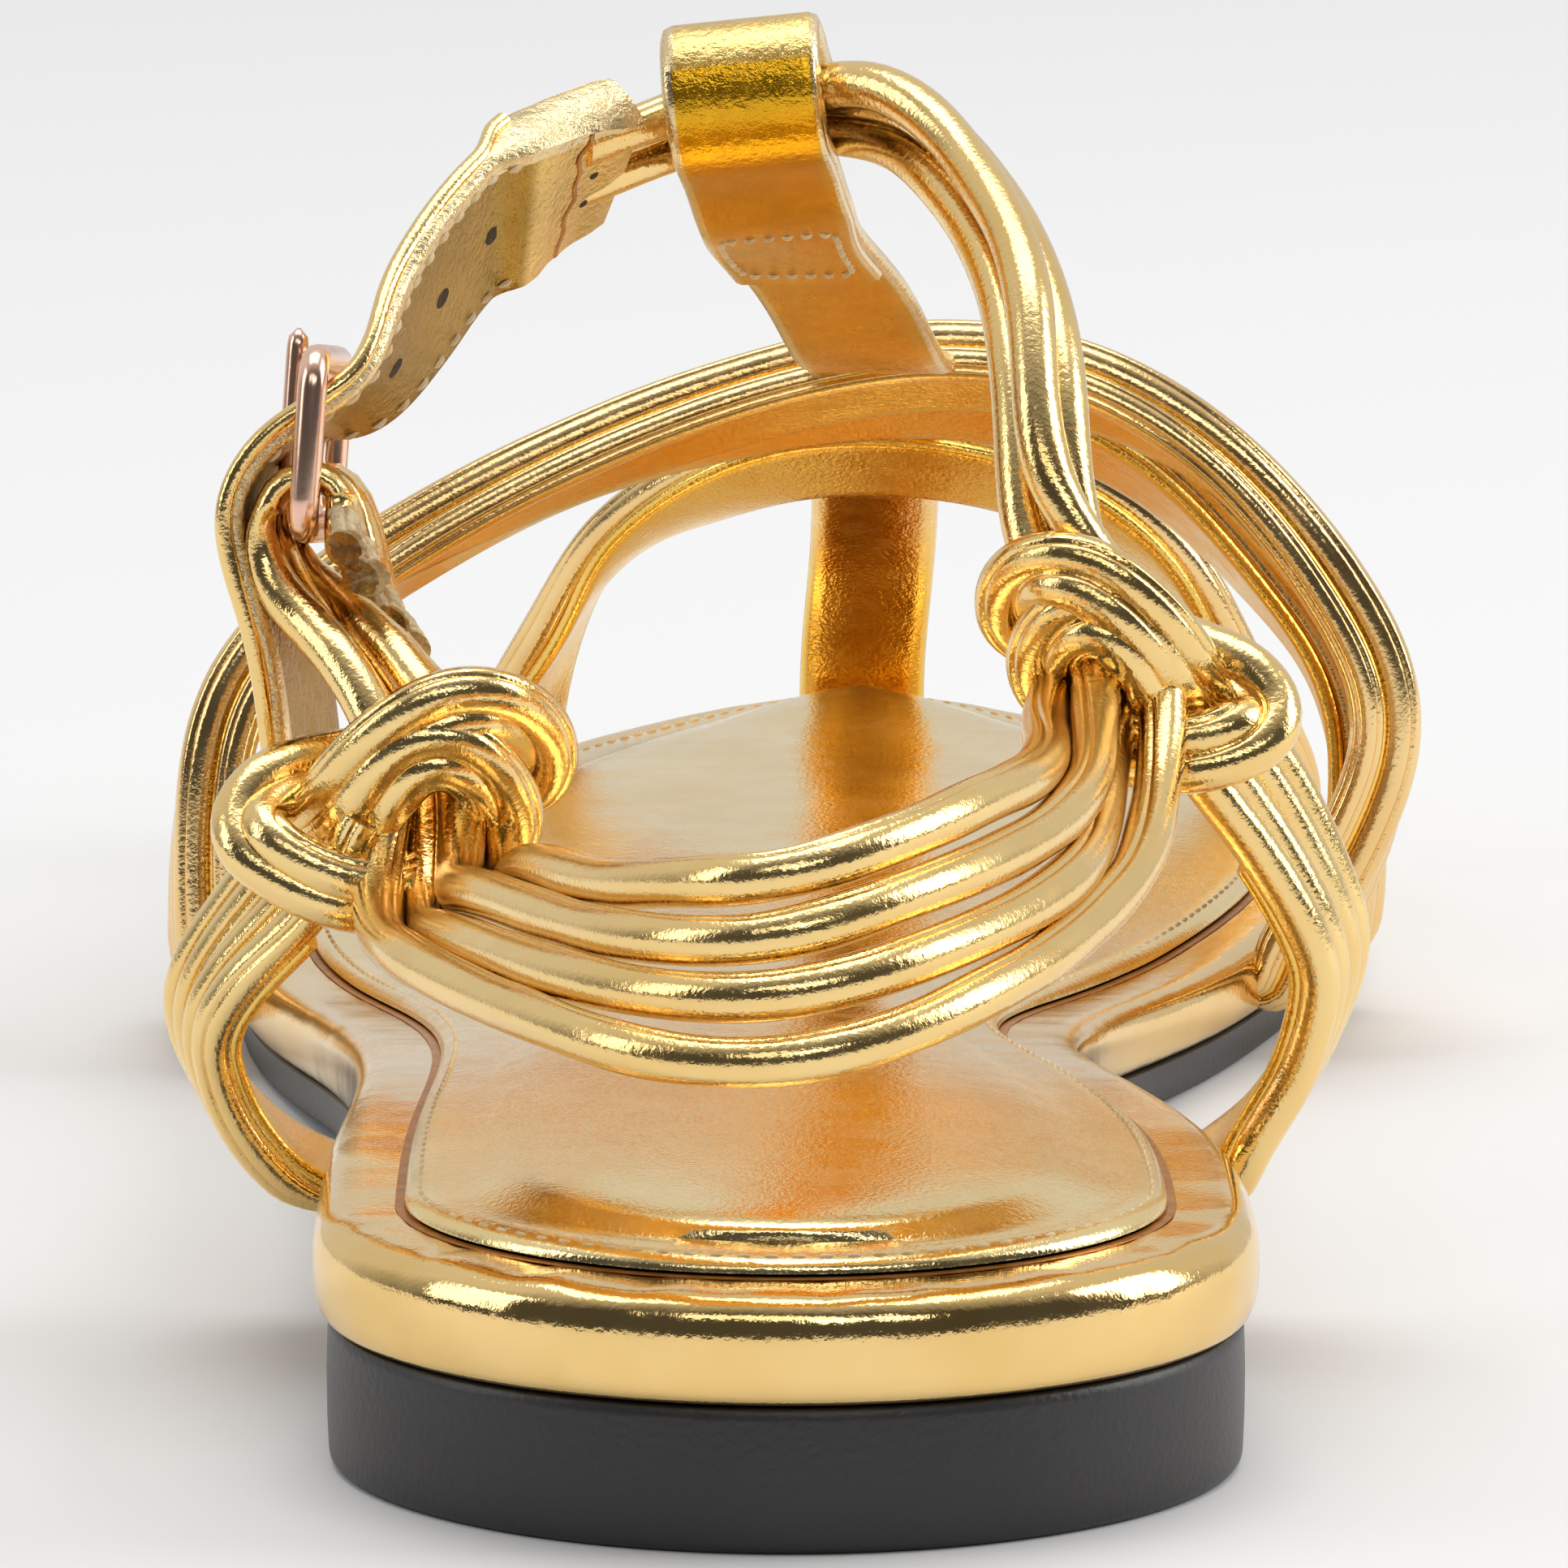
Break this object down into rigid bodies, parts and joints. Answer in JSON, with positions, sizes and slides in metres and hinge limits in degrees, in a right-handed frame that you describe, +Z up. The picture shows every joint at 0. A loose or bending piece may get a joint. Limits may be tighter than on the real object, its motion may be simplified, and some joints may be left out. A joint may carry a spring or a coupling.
{
  "type": "gladiator sandal",
  "caption": "Flat left gladiator sandal: gold corded straps over the vamp and toe, a T-strap with a loop, a knotted heel strap and a buckled ankle strap on a low black sole.",
  "frame": {"origin": "on the floor under the middle of the heel", "axes": "+Y to the toe, +X to the inner side of the foot (this is the left shoe), +Z up"},
  "size_m": [0.0932, 0.2504, 0.0868],
  "materials": {
    "outsole": "satin black unit sole",
    "footbed": "mirror-bright metallic gold, finely grained, over a board",
    "insole_sock": "glossy metallic gold, lightly padded",
    "upper_straps": "mirror-bright metallic gold outside, glossy amber lining",
    "knotted_cords": "mirror-bright metallic gold cords",
    "ankle_strap": "metallic gold, finely grained, edge-stitched",
    "buckle_frame": "polished rose gold",
    "buckle_prong": "polished rose gold"
  },
  "bodies": {
    "root": {"outsole": "outsole", "footbed": "footbed", "insole_sock": "insole_sock", "upper_straps": "upper_straps", "knotted_cords": "knotted_cords", "ankle_strap": "ankle_strap", "buckle_frame": "buckle_frame", "buckle_prong": "buckle_prong"}
  },
  "joints": []
}
